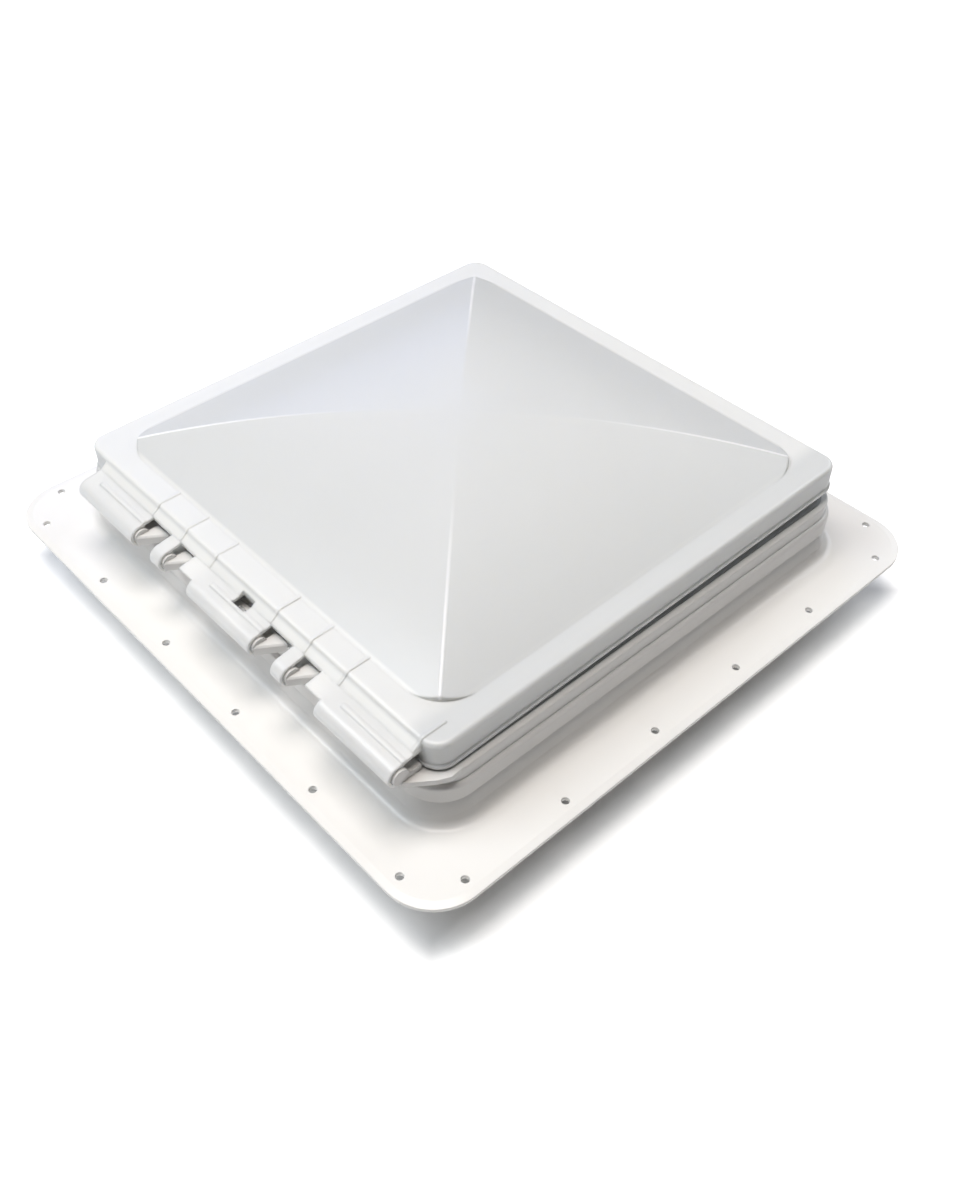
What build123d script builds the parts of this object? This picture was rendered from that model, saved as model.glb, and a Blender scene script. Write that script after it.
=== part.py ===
from build123d import *
import math
import os

# A roof hatch for a caravan or camper: a moulded flange and curb that screws to the roof, a domed lid
# on a row of hooked hinges, and a hand crank that lifts the lid by a worm, a toothed sector and one lift arm.
# Millimetres. +Z is up, the hinge lies along X on the -Y side, and the origin is the middle of the
# flange's underside, which is the roof plane. The pieces are drawn with the lid shut, and the moving
# ones are then turned to the small opening that the lid stands at.

# Curb and throat: band_half sets the hatch's size, and the widths below are measured from it
band_half = 187.5
band_round = 3.0
band_top = 34.0
band_under = 2.0
ledge_width = 12.5
ledge_top = 43.5
ledge_chamfer = 0.6
neck_in = 2.0
neck_z = 20.0
foot_out = 1.5
foot_fillet = 7.0
throat_corner = 15.0
upstand_top = 54.0
skirt_depth = 12.0
mould_wall = 2.6
roof_gap = 3.0

# Flange and its screw holes
flange_out = 41.0
flange_thick = 3.0
flange_corner = 34.0
flange_lap = 4.0
rim_width = 5.0
rim_drop = 0.8
hole_dia = 5.0
hole_edge = 11.0
hole_end = 36.0
holes_per_side = 6

# Hinge: rods on the curb, hooks on the lid
rod_out = 8.0
rod_rise = 4.5
rod_radius = 5.5
hook_clear = 0.3
hook_wall = 2.0
hook_start = 60.0
hook_end = 244.0
roll_left = 31.1
roll_right = 16.5
roll_length = 65.0
roll_count = 3
knuckle_offset = 87.2
knuckle_length = 10.0
tab_length = 14.5
tab_reach = 2.0
end_clear = 0.8
web_thick = 3.7
bar_thick = 3.0
plate_thick = 3.7
plate_past = 1.5
plate_cut_x = 3.6
plate_cut_y = 3.9
plate_side = 12.8
petal_reach = 11.0
petal_height = 6.2
petal_tip = 1.5
petal_chamfer = 1.2
petal_inset = 0.5
pad_rise = 2.6
shoulder_out = 5.5
shoulder_drop = 6.2
shoulder_deep = 2.3
shoulder_sunk = 1.0
strip_offset = 12.0
strip_start = 2.4
strip_width = 3.0
strip_height = 0.8
rod_past = 1.8
slot_offset = 32.7
slot_length = 12.5
slot_depth = 9.0
slot_rod_clear = 2.0
slot_wall_gap = 2.5

# Lid
lid_clear = 2.0
lid_wall = 2.5
lid_corner = 12.5
lid_height = 19.0
lid_edge_round = 3.0
lip_out = 1.2
lip_height = 2.5
lip_round = 1.0
border_width = 16.5
panel_corner = 30.0
dome_rise = 33.5
rib_width = 2.0
rib_height = 0.5
rib_in = 1.6

# Gasket on the curb's ledge
gasket_height = 1.2
gasket_free = 0.3
gasket_inset = 0.6

# Lift linkage: equal arms about the hinge and the pivot keep the shoe on a straight track
arm_length = 120.0
track_headroom = 6.7
pivot_drop = 6.0
lid_ajar = 1.2
lid_travel = 60.0
arm_thick = 3.0
arm_hub_radius = 9.0
arm_tip_radius = 7.0
arm_gap = 1.0
pin_radius = 2.5
pin_head_radius = 4.0
pin_head = 1.5
shoe_length = 14.0
shoe_height = 9.4
shoe_width = 5.4
shoe_clear = 0.3
shoe_round = 1.5

# Track under the lid
sheet = 1.5
track_gap = 0.6
track_lip = 1.8
track_tab = 14.0
track_overrun = 6.0
track_screw_length = 6.5
boss_side = 12.0

# Worm and toothed sector
module = 1.5
sector_teeth = 24
teeth_cut = 10
worm_pitch_radius = 6.0
addendum = 1.3
dedendum = 1.7
tooth_play = 0.25
centre_play = 0.15
pressure_angle = 20.0
sector_width = 6.0
sector_hub_radius = 8.5
worm_length = 16.0
worm_shoulder = 1.0
thrust_gap = 0.3
running = 0.05
sector_edge = 0.75
sector_sunk = 0.8
thread_sunk = 0.4

# Operator case
case_half = 10.6
case_front = 24.0
case_back = 37.0
case_over = 23.5
case_corner = 6.0
case_edge_round = 1.5
case_skin = 3.0
case_head_clear = 0.5
shaft_clear = 0.8
cavity_clear = 1.4
side_clear = 0.8
case_screw_inset = 5.0
case_screw_radius = 1.6
lug_out = 9.0
lug_thick = 3.0
lug_length = 18.0
lug_corner = 2.0
foot_screw_length = 8.0
foot_screw_radius = 2.0

# Pivot shaft and its bushes
square_side = 6.3
journal_small = 3.1
journal_large = 4.5
bush_wall = 2.0
bush_proud = 0.5
shaft_stub = 3.2
ring_thick = 0.9
ring_out = 2.4
ring_play = 0.25
ring_mouth = 2.4
groove_depth = 0.6

# Crank shaft, its bushes and the knob
crank_radius = 4.0
crank_bush_wall = 2.5
crank_bush_length = 4.0
crank_flat = 0.8
crank_short = 0.3
crank_end_z = -36.0
knob_top_z = -21.0
knob_height = 22.0
knob_radius = 22.0
knob_top_round = 3.0
knob_low_round = 5.0
knob_hub_wall = 4.5
knob_hub_rise = 3.0
knob_bore_over = 0.5
flute_count = 8
flute_radius = 6.0
flute_centre_out = 3.3
set_screw_radius = 2.0
set_screw_sunk = 7.0
set_screw_drop = 3.0
socket_radius = 1.2
socket_depth = 1.0

# Crossbar
bar_top = 4.5
bar_width = 32.0
bar_flange = 6.0
bar_ear = 16.0
ear_screw_spacing = 18.0
ear_screw_z = 12.0
ear_screw_radius = 2.0
ear_screw_length = 7.0
shaft_hole_clear = 2.0

# How far cutters run past a face, and how far joined shapes run into each other
past = 1.0
lap = 1.0

# Screws
head_ratio = 1.9
head_height = 2.2
head_round = 0.9
screw_play = 0.1
drive_width = 0.9
drive_depth = 0.9
drive_reach = 1.2

# Insect screen
screen_gap = 0.5
screen_thick = 5.0
screen_rim = 20.0
screen_inner_corner = 6.0
screen_edge_round = 1.2
groove_width = 3.6
groove_deep = 3.2
groove_inset = 3.0
spline_radius = 1.5
spline_play = 0.1
net_count = 16
net_wire = 0.9
net_thick = 0.6
grommet_wall = 3.2
grommet_flange = 3.0
grommet_thick = 1.2
grommet_neck = 0.9
grommet_net_play = 0.1
net_hole_lap = 0.8
clip_thick = 2.0
clip_length = 22.0
clip_width = 9.0
clip_screw_radius = 1.6
clip_post = 9.0
clip_inset = 4.5
clip_y = 100.0
clip_post_wall = 2.6
clip_gap = 0.3
clip_room = 0.6
clip_screw_short = 3.0
boss_wall = 2.4
boss_rib = 5.0
boss_roof = 1.5

# Worked-out places
throat_outer = band_half - ledge_width
throat_inner = throat_outer - mould_wall
roof_opening = 2 * (throat_outer + roof_gap)
corner_centre = throat_outer - throat_corner
ledge_half = band_half - band_round
neck_half = band_half - neck_in
curb_foot = band_half + foot_out
flange_side = 2 * (band_half + flange_out)
hole_pitch = (flange_side - 2 * hole_end) / (holes_per_side - 1)
hinge_y = -band_half - rod_out
hinge_z = ledge_top + rod_rise
lid_low = ledge_top + gasket_height + gasket_free
lid_half = throat_outer + lid_clear + lid_wall
panel_half = lid_half - border_width
border_z = lid_low + lid_height
hook_inner = rod_radius + hook_clear
hook_outer = hook_inner + hook_wall
dome_radius = (panel_half ** 2 + dome_rise ** 2) / (2 * dome_rise)
dome_centre = border_z + dome_rise - dome_radius

track_end = 2 * arm_length + shoe_length / 2 + track_overrun + track_tab
track_top = dome_centre + math.sqrt((dome_radius - lid_wall) ** 2 - (hinge_y + track_end) ** 2)
track_tilt = math.degrees(math.atan((track_top - track_headroom - hinge_z) / track_end))
pivot_y = hinge_y + arm_length * math.cos(math.radians(pivot_drop))
pivot_z = hinge_z - arm_length * math.sin(math.radians(pivot_drop))
arm_angle = 2 * track_tilt + pivot_drop
tip_y = pivot_y + arm_length * math.cos(math.radians(arm_angle))
tip_z = pivot_z + arm_length * math.sin(math.radians(arm_angle))
shoe_far = 2 * arm_length * math.cos(math.radians(track_tilt + pivot_drop))
shoe_near = 2 * arm_length * math.cos(math.radians(track_tilt + pivot_drop + lid_travel))

arm_in = case_half + arm_gap
arm_out = arm_in + arm_thick
track_in = arm_out + track_gap
shoe_in = track_in + sheet + shoe_clear
track_back = shoe_in + shoe_width + shoe_clear
track_out = track_back + sheet
channel_half = shoe_height / 2 + shoe_clear

sector_pitch_radius = module * sector_teeth / 2
sector_tip = sector_pitch_radius + addendum
sector_root = sector_pitch_radius - dedendum
thread_pitch = math.pi * module
tooth_thick = thread_pitch / 2 - tooth_play
lead_slope = thread_pitch / (2 * math.pi * worm_pitch_radius)
worm_tip = worm_pitch_radius + addendum
worm_root = worm_pitch_radius - dedendum
crank_y = pivot_y - sector_pitch_radius - worm_pitch_radius - centre_play
worm_room = worm_length / 2 + worm_shoulder + thrust_gap
crank_ratio = 2 * sector_teeth

case_top = pivot_z + case_over
bar_y = (pivot_y + crank_y) / 2
knob_low_z = knob_top_z - knob_height
screen_top = -skirt_depth - screen_gap
screen_half = throat_outer
screen_inner = screen_half - screen_rim

roll_pitch = (2 * ledge_half - roll_left - roll_right - roll_length) / (roll_count - 1)
roll_starts = [-ledge_half + roll_left + i * roll_pitch for i in range(roll_count)]
last_end = roll_starts[-1] + roll_length
knuckle_starts = [s + knuckle_offset for s in roll_starts[:-1]]
rib_places = [s + roll_length - rib_in for s in roll_starts]
rib_places += roll_starts[1:]
rib_places += [s + knuckle_length - rib_in for s in knuckle_starts]
shoulder_y = -lid_half - shoulder_out
slot_x = roll_starts[1] + slot_offset + slot_length / 2


def rounded_block(half, corner, low, high):
    """An upright block with a square plan and rounded corners."""
    plan = Pos(0, 0, low) * RectangleRounded(2 * half, 2 * half, corner)
    return extrude(plan, amount=high - low)


def block(x0, x1, y0, y1, z0, z1):
    """A block given by its six faces."""
    middle = Pos((x0 + x1) / 2, (y0 + y1) / 2, (z0 + z1) / 2)
    return middle * Box(x1 - x0, y1 - y0, z1 - z0)


def side_profile(points, x0, x1):
    """A flat outline in Y and Z, carried from x0 to x1."""
    face = Plane.YZ * make_face(Polyline(points, close=True))
    return Pos(x0, 0, 0) * extrude(face, amount=x1 - x0)


def cross_rod(radius, y, z, x0, x1):
    """A round bar along X."""
    return Pos((x0 + x1) / 2, y, z) * Rot(0, 90, 0) * Cylinder(radius, x1 - x0)


def upright_rod(radius, x, y, z0, z1):
    """A round bar along Z."""
    return Pos(x, y, (z0 + z1) / 2) * Cylinder(radius, z1 - z0)


def around(angle, radius, y=0.0, z=0.0):
    """A point in the Y-Z plane at an angle from +Y towards +Z."""
    turn = math.radians(angle)
    return (y + radius * math.cos(turn), z + radius * math.sin(turn))


def along_track(reach, rise=0.0):
    """A point in the Y-Z plane at a distance from the hinge along the track, and above its line."""
    y, z = around(track_tilt, reach, hinge_y, hinge_z)
    return around(track_tilt + 90, rise, y, z)


def screw(radius, length, head_radius):
    """A pan-head screw along Z: its head sits on z = 0 and its shank points down."""
    head = Pos(0, 0, head_height / 2) * Cylinder(head_radius, head_height)
    head = fillet(head.edges().sort_by(Axis.Z)[-1], head_round)
    bar = Box(head_radius * drive_reach, drive_width, drive_depth)
    other = Box(drive_width, head_radius * drive_reach, drive_depth)
    recess = Pos(0, 0, head_height - drive_depth / 2) * (bar + other)
    shank = Pos(0, 0, -length / 2) * Cylinder(radius, length)
    return head - recess + shank


def ring_sweep(points, arcs):
    """Carries a section round the curb. Its points are (distance out, height); arcs gives middles."""
    start = curb_foot
    path = RectangleRounded(2 * start, 2 * start, start - corner_centre).wire()
    outward = Vector(path @ 0)
    outward = Vector(outward.X, 0, 0) if abs(outward.X) > abs(outward.Y) else Vector(0, outward.Y, 0)
    plane = Plane(origin=path @ 0, x_dir=outward.normalized(), z_dir=path % 0)
    up = 1.0 if plane.y_dir.Z > 0 else -1.0
    edges = []
    for index, point in enumerate(points):
        following = points[(index + 1) % len(points)]
        a = (point[0] - start, up * point[1])
        b = (following[0] - start, up * following[1])
        if index in arcs:
            middle = (arcs[index][0] - start, up * arcs[index][1])
            edges.append(ThreePointArc(a, middle, b))
        else:
            edges.append(Line(a, b))
    return sweep(plane * make_face(edges), path=path)


def curb_ring():
    """The curb as moulded: outer wall, ledge and throat wall, open underneath between the walls."""
    foot_centre = (curb_foot + foot_fillet, flange_thick + foot_fillet)
    band_centre = (ledge_half, band_top - band_round)
    hollow_round = foot_fillet + mould_wall
    points = [
        (curb_foot + foot_fillet + flange_lap, 0.0),
        (curb_foot + foot_fillet + flange_lap, flange_thick),
        (curb_foot + foot_fillet, flange_thick),
        (curb_foot, flange_thick + foot_fillet),
        (neck_half, neck_z),
        (band_half, neck_z + band_under),
        (band_half, band_top - band_round),
        (ledge_half, band_top),
        (ledge_half, ledge_top - ledge_chamfer),
        (ledge_half - ledge_chamfer, ledge_top),
        (throat_outer, ledge_top),
        (throat_outer, upstand_top),
        (throat_inner, upstand_top),
        (throat_inner, -skirt_depth),
        (throat_outer, -skirt_depth),
        (throat_outer, ledge_top - mould_wall),
        (ledge_half - mould_wall, ledge_top - mould_wall),
        (ledge_half - mould_wall, band_top - mould_wall),
        (ledge_half, band_top - mould_wall),
        (band_half - mould_wall, band_top - band_round),
        (band_half - mould_wall, neck_z + band_under),
        (neck_half - mould_wall, neck_z),
        (curb_foot - mould_wall, flange_thick + foot_fillet),
        around(225, hollow_round, *foot_centre),
        (curb_foot + foot_fillet / 2, 0.0),
    ]
    arcs = {
        2: around(225, foot_fillet, *foot_centre),
        4: around(-45, band_under, neck_half, neck_z + band_under),
        6: around(45, band_round, *band_centre),
        18: around(45, band_round - mould_wall, *band_centre),
        22: around(202.5, hollow_round, *foot_centre),
    }
    return ring_sweep(points, arcs)


def hinge_rods():
    """The round rods that the lid's hooks turn on, their webs, and the bar on the ledge behind them."""
    bar_inner = -ledge_half + bar_thick
    pieces = block(roll_starts[0] - end_clear, last_end + rod_past, -ledge_half, bar_inner,
                   ledge_top - lap, hinge_z)
    pieces += corner_plate()
    spans = [(s, s + roll_length) for s in roll_starts]
    spans += [(s, s + knuckle_length) for s in knuckle_starts]
    for start, end in spans:
        pieces += cross_rod(rod_radius, hinge_y, hinge_z, start - end_clear, end + rod_past)
        pieces += block(start - end_clear, end + rod_past, hinge_y, -ledge_half + lap,
                        hinge_z - web_thick, hinge_z)
        if end < last_end:
            pieces += petal(end + end_clear)
    slot_half = slot_length / 2 + slot_rod_clear
    deep = 2 * rod_radius
    slot = block(slot_x - slot_half, slot_x + slot_half, hinge_y - deep, -ledge_half,
                 hinge_z - deep, hinge_z + deep)
    return pieces - slot


def corner_plate():
    """The flat plate at the ledge's height that joins the last rod's end to the curb's corner."""
    start = last_end + end_clear
    plan = Polyline([
        (start, hinge_y - plate_past),
        (ledge_half - plate_cut_x, -ledge_half + plate_cut_y),
        (ledge_half, -corner_centre - plate_side),
        (ledge_half - lap, -corner_centre),
        (throat_outer + lap, -corner_centre),
        (start, -throat_outer - lap),
    ], close=True)
    return extrude(Pos(0, 0, ledge_top - plate_thick) * make_face(plan), amount=plate_thick)


def petal(start):
    """The three-cornered gusset that tapers from a rod's end back to the ledge."""
    outer = hinge_y - rod_radius + petal_inset
    plan = Polyline([
        (start, outer),
        (start + petal_tip, outer),
        (start + petal_tip + petal_reach, -ledge_half + lap),
        (start, -ledge_half + lap),
    ], close=True)
    low = hinge_z - web_thick
    solid = extrude(Pos(0, 0, low) * make_face(plan), amount=petal_height)
    slanted = solid.edges().filter_by(Plane.XY).group_by(Axis.Z)[-1].sort_by(Axis.Y)[:2]
    return chamfer(slanted, petal_chamfer)


def base_frame():
    """Flange, curb, throat and hinge rods in one moulding."""
    flange_half = flange_side / 2
    flange = rounded_block(flange_half, flange_corner, 0.0, flange_thick - rim_drop)
    rim_plan = RectangleRounded(flange_side, flange_side, flange_corner)
    top_side = flange_side - 2 * rim_width
    top_plan = RectangleRounded(top_side, top_side, flange_corner - rim_width)
    flange += loft([Pos(0, 0, flange_thick - rim_drop) * rim_plan, Pos(0, 0, flange_thick) * top_plan])
    inside = curb_foot + foot_fillet + flange_lap / 2
    flange -= rounded_block(inside, inside - corner_centre, -past, flange_thick + past)
    body = flange + curb_ring() + hinge_rods()
    line = flange_half - hole_edge
    first = -hole_pitch * (holes_per_side - 1) / 2
    for i in range(holes_per_side):
        step = first + i * hole_pitch
        for x, y in [(step, line), (step, -line), (line, step), (-line, step)]:
            body -= upright_rod(hole_dia / 2, x, y, -past, flange_thick + past)
    for side in (-1, 1):
        for y in ear_screw_places():
            reach = sorted([side * (throat_inner - past), side * (throat_outer + past)])
            body -= cross_rod(ear_screw_radius + screw_play, y, ear_screw_z, *reach)
    for x, y in clip_places():
        top = -skirt_depth + clip_post
        post = upright_rod(clip_screw_radius + boss_wall, x, y, -skirt_depth, top)
        span = sorted([x, math.copysign(throat_inner + lap, x)])
        rib = block(*span, y - boss_rib / 2, y + boss_rib / 2, -skirt_depth, top)
        drilled = upright_rod(clip_screw_radius + screw_play, x, y, -skirt_depth - past, top - boss_roof)
        body = body + post + rib - drilled
    return body


def lid_block(grow):
    """The lid's box from its foot to its border, all faces moved out by grow."""
    half = lid_half + grow
    solid = rounded_block(half, lid_corner + grow, lid_low, border_z + grow)
    return fillet(solid.edges().group_by(Axis.Z)[-1], lid_edge_round + grow)


def vault(inset, low):
    """The dome: two crossed barrel vaults, which meet in four ridges that fade towards the top."""
    radius = dome_radius - inset
    length = 4 * panel_half
    east_west = Pos(0, 0, dome_centre) * Rot(0, 90, 0) * Cylinder(radius, length)
    north_south = Pos(0, 0, dome_centre) * Rot(90, 0, 0) * Cylinder(radius, length)
    half = panel_half - inset
    prism = rounded_block(half, panel_corner - inset, low, border_z + dome_rise + past)
    return prism & east_west & north_south


def pad_height(y):
    """The height of a hinge pad's top face, which rises from the hook to the lid's wall."""
    return hinge_z + hook_outer + pad_rise * (y - hinge_y) / (-lid_half - hinge_y)


def pad_outline(reach):
    """A pad's outline in Y and Z from its free edge to just inside the lid's shoulder."""
    wall = shoulder_y + lap
    return [
        (reach, pad_height(reach) - hook_wall),
        (reach, pad_height(reach)),
        (wall, pad_height(wall)),
        (wall, pad_height(wall) - hook_wall),
    ]


def shoulder(lift):
    """The slope from the lid's border down to the pads, its upper face raised by lift."""
    inner = -lid_half + lid_edge_round
    wall = -lid_half + shoulder_sunk
    return side_profile([
        (inner, border_z + lift),
        (shoulder_y, border_z - shoulder_drop + lift),
        (shoulder_y, pad_height(shoulder_y) - shoulder_deep),
        (wall, pad_height(wall) - shoulder_deep),
    ], roll_starts[0], last_end)


def hook(start, end):
    """One rolled hook that grips a hinge rod, with the pad that ties it to the lid's shoulder."""
    ring = cross_rod(hook_outer, hinge_y, hinge_z, start, end)
    ring -= cross_rod(hook_inner, hinge_y, hinge_z, start - past, end + past)
    reach = 2 * hook_outer
    kept = [(hinge_y, hinge_z)]
    steps = 6
    for i in range(steps + 1):
        angle = hook_start + (hook_end - hook_start) * i / steps
        kept.append(around(angle, reach, hinge_y, hinge_z))
    roll = ring & side_profile(kept, start, end)
    pad = side_profile(pad_outline(hinge_y), start, end)
    pad -= cross_rod(hook_inner, hinge_y, hinge_z, start - past, end + past)
    return roll + pad


def lid_hinge_parts():
    """The shoulder with its long hooks, short knuckles, flat tabs and the raised strips on the pads."""
    strip_outer = hinge_y + strip_start
    pieces = shoulder(0.0)
    for index, start in enumerate(roll_starts):
        end = start + roll_length
        roll = hook(start, end)
        strip = [
            (strip_outer, pad_height(strip_outer) - lap),
            (strip_outer, pad_height(strip_outer) + strip_height),
            (strip_outer + strip_width, pad_height(strip_outer + strip_width) + strip_height),
            (strip_outer + strip_width, pad_height(strip_outer + strip_width) - lap),
        ]
        roll += side_profile(strip, start + strip_offset, end)
        if index > 0:
            roll += side_profile(pad_outline(hinge_y - tab_reach), start - tab_length, start)
            roll -= cross_rod(hook_inner, hinge_y, hinge_z, start - tab_length - past, start + past)
        pieces += roll
    for start in knuckle_starts:
        pieces += hook(start, start + knuckle_length)
    wall = -lid_half - slot_wall_gap
    slot = block(slot_x - slot_length / 2, slot_x + slot_length / 2, wall - slot_depth, wall,
                 hinge_z, border_z)
    return pieces - slot


def lid_shell():
    """The domed lid with its border, skirt, lip, hinge hooks, ribs and the two bosses for the track."""
    lip_half = lid_half + lip_out
    lip = rounded_block(lip_half, lid_corner + lip_out, lid_low, lid_low + lip_height)
    lip = fillet(lip.edges().group_by(Axis.Z)[-1], lip_round)
    outside = lid_block(0.0) + vault(0.0, border_z - lid_wall) + lip
    outside += lid_hinge_parts()
    raised = lid_block(rib_height) + shoulder(rib_height)
    for x in rib_places:
        slab = block(x - rib_width / 2, x + rib_width / 2, shoulder_y, -panel_half + 2 * lap,
                     pad_height(shoulder_y), border_z + rib_height + past)
        outside += raised & slab
    hollow = rounded_block(lid_half - lid_wall, lid_corner - lid_wall, lid_low - past, border_z - lid_wall)
    hollow = fillet(hollow.edges().group_by(Axis.Z)[-1], lid_edge_round - lid_wall)
    hollow += vault(lid_wall, border_z - 2 * lid_wall)
    shell = outside - hollow
    under_track = side_profile([
        along_track(0.0, channel_half + sheet),
        along_track(3 * arm_length, channel_half + sheet),
        (3 * arm_length, 0.0),
        (hinge_y, 0.0),
    ], track_in - past, track_out + past)
    dome = vault(lid_wall / 2, border_z - lid_wall / 2)
    for reach in track_hole_places():
        y, z = along_track(reach)
        boss = block(track_in, track_out, y - boss_side / 2, y + boss_side / 2, z, border_z + dome_rise)
        depth = track_screw_length + screw_play
        pilot = Pos(0, 0, -depth / 2) * Cylinder(foot_screw_radius + screw_play, depth)
        shell += (boss & dome_and_below(dome)) - under_track
        shell -= track_screw_axis(reach) * pilot
    return shell


def dome_and_below(dome):
    """The dome's inside together with the room inside the lid's walls."""
    return dome + rounded_block(lid_half - lid_wall / 2, lid_corner, 0.0, border_z - lid_wall / 2)


def track_span():
    """Where the channel starts and ends, as distances from the hinge."""
    near = shoe_near - shoe_length / 2 - track_overrun
    far = shoe_far + shoe_length / 2 + track_overrun
    return near, far


def track_hole_places():
    """Distances from the hinge to the two screws of the track."""
    near, far = track_span()
    return [near - track_tab / 2, far + track_tab / 2]


def track_screw_axis(reach):
    """The place of a track screw: its head under the tab and its shank pointing up into the boss."""
    y, z = along_track(reach, channel_half)
    middle = (track_in + track_out) / 2
    return Pos(middle, y, z) * Rot(track_tilt, 0, 0) * Rot(180, 0, 0)


def lid_track():
    """The folded steel channel under the lid, open towards the arm, with a tab at each end."""
    near, far = track_span()
    outer = channel_half + sheet
    plane = Plane(origin=(0, hinge_y, hinge_z), x_dir=(0, *around(track_tilt, 1.0)), z_dir=(1, 0, 0))

    def slab(low, high, bottom, top, x0, x1):
        centre = Pos((low + high) / 2, (bottom + top) / 2, (x0 + x1) / 2)
        return plane * centre * Box(high - low, top - bottom, x1 - x0)

    body = slab(near, far, -outer, outer, track_in, track_out)
    body -= slab(near - past, far + past, -channel_half, channel_half, track_in + sheet, track_back)
    mouth = channel_half - track_lip
    body -= slab(near - past, far + past, -mouth, mouth, track_in - past, track_in + sheet + past)
    for low, high in [(near - track_tab, near), (far, far + track_tab)]:
        body += slab(low, high, channel_half, outer, track_in, track_out)
    for reach in track_hole_places():
        body -= track_screw_axis(reach) * Cylinder(foot_screw_radius + screw_play, 6 * sheet)
    return body


def track_screws():
    """The two screws that hold the track to the lid's bosses."""
    one = screw(foot_screw_radius, track_screw_length, foot_screw_radius * head_ratio)
    return [track_screw_axis(reach) * one for reach in track_hole_places()]


def curb_gasket():
    """The square rubber ring on the curb's ledge, under the lid's edge."""
    outer = lid_half + lip_out - gasket_inset
    inner = throat_outer + gasket_inset
    ring = rounded_block(outer, outer - corner_centre, ledge_top, ledge_top + gasket_height)
    top = ledge_top + gasket_height + past
    return ring - rounded_block(inner, inner - corner_centre, ledge_top - past, top)


def ear_screw_places():
    """The Y places of the crossbar's two screws at each end."""
    return [bar_y - ear_screw_spacing / 2, bar_y + ear_screw_spacing / 2]


def foot_places():
    """The X and Y places of the two screws that hold the case on the crossbar."""
    out = case_half + lug_out / 2
    return [(-out, bar_y), (out, bar_y)]


def crossbar():
    """The folded steel bar across the throat that carries the operator."""
    low = bar_top - bar_flange
    y0, y1 = bar_y - bar_width / 2, bar_y + bar_width / 2
    body = block(-throat_inner, throat_inner, y0, y1, low, bar_top)
    body -= block(-throat_inner + sheet, throat_inner - sheet, y0 + sheet, y1 - sheet,
                  low - past, bar_top - sheet)
    for side in (-1, 1):
        span = sorted([side * throat_inner, side * (throat_inner - sheet)])
        body += block(*span, y0, y1, low, bar_top + bar_ear)
        for y in ear_screw_places():
            reach = sorted([side * (throat_inner - 2 * sheet), side * (throat_inner + past)])
            body -= cross_rod(ear_screw_radius + screw_play, y, ear_screw_z, *reach)
    body -= upright_rod(crank_radius + shaft_hole_clear, 0, crank_y, low - past, bar_top + past)
    for x, y in foot_places():
        body -= upright_rod(foot_screw_radius + screw_play, x, y, low - past, bar_top + past)
    return body


def crossbar_screws():
    """Four screws from the bar's ears into the throat walls."""
    one = screw(ear_screw_radius, ear_screw_length, ear_screw_radius * head_ratio)
    placed = []
    for side in (-1, 1):
        for y in ear_screw_places():
            seat = Pos(side * (throat_inner - sheet), y, ear_screw_z)
            placed.append(seat * Rot(0, -90 * side, 0) * one)
    return placed


def case_screw_places():
    """The Y and Z places of the three screws that close the case."""
    front = pivot_y + case_front - case_screw_inset
    back = pivot_y - case_back + case_screw_inset
    top = case_top - case_screw_inset
    return [(front, top), (front, bar_top + case_screw_inset), (back, top)]


def case_half_shell(side):
    """One half of the operator's case, split on the plane through the worm and the sector."""
    y0, y1 = pivot_y - case_back, pivot_y + case_front
    whole = block(-case_half, case_half, y0, y1, bar_top, case_top)
    whole = fillet(whole.edges().filter_by(Axis.X), case_corner)
    whole = fillet(whole.edges().group_by(Axis.X)[0] + whole.edges().group_by(Axis.X)[-1], case_edge_round)
    for sign, (x, y) in zip((-1, 1), foot_places()):
        inner = sign * (case_half - case_skin)
        outer = sign * (case_half + lug_out)
        foot = block(*sorted([inner, outer]), y - lug_length / 2, y + lug_length / 2,
                     bar_top, bar_top + lug_thick)
        uprights = foot.edges().filter_by(Axis.Z).sort_by(Axis.X)
        foot = fillet(uprights[:2] if sign < 0 else uprights[2:], lug_corner)
        whole += foot
        top = bar_top + lug_thick + past
        whole -= upright_rod(foot_screw_radius + screw_play, x, y, bar_top - past, top)
    half_width = sector_width / 2 + side_clear
    whole -= cross_rod(sector_tip + cavity_clear, pivot_y, pivot_z, -half_width, half_width)
    room = worm_tip + cavity_clear
    whole -= upright_rod(room, 0, crank_y, pivot_z - worm_room, pivot_z + worm_room)
    bush = crank_radius + crank_bush_wall
    top = pivot_z + worm_room + crank_bush_length
    whole -= upright_rod(bush, 0, crank_y, pivot_z - worm_room - crank_bush_length, top)
    whole -= upright_rod(crank_radius + shaft_clear, 0, crank_y, bar_top - past, pivot_z)
    whole -= cross_rod(journal_small + bush_wall, pivot_y, pivot_z, -case_half - past, 0)
    whole -= cross_rod(journal_large + bush_wall, pivot_y, pivot_z, 0, case_half + past)
    for y, z in case_screw_places():
        whole -= cross_rod(case_screw_radius + screw_play, y, z, -case_half + case_skin, case_half + past)
        head = case_screw_radius * head_ratio + case_head_clear
        whole -= cross_rod(head, y, z, case_half - head_height, case_half + past)
    reach = 2 * case_half + lug_out
    keep = block(*sorted([0, side * reach]), y0 - past, y1 + past, bar_top - past, case_top + past)
    return whole & keep


def case_screws():
    """Three screws that close the case, their heads sunk in its right half."""
    one = screw(case_screw_radius, 2 * case_half - head_height - case_skin - lap,
                case_screw_radius * head_ratio)
    seat = case_half - head_height
    return [Pos(seat, y, z) * Rot(0, 90, 0) * one for y, z in case_screw_places()]


def foot_screws():
    """Two screws that hold the case down on the crossbar."""
    one = screw(foot_screw_radius, foot_screw_length, foot_screw_radius * head_ratio)
    return [Pos(x, y, bar_top + lug_thick) * one for x, y in foot_places()]


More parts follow.
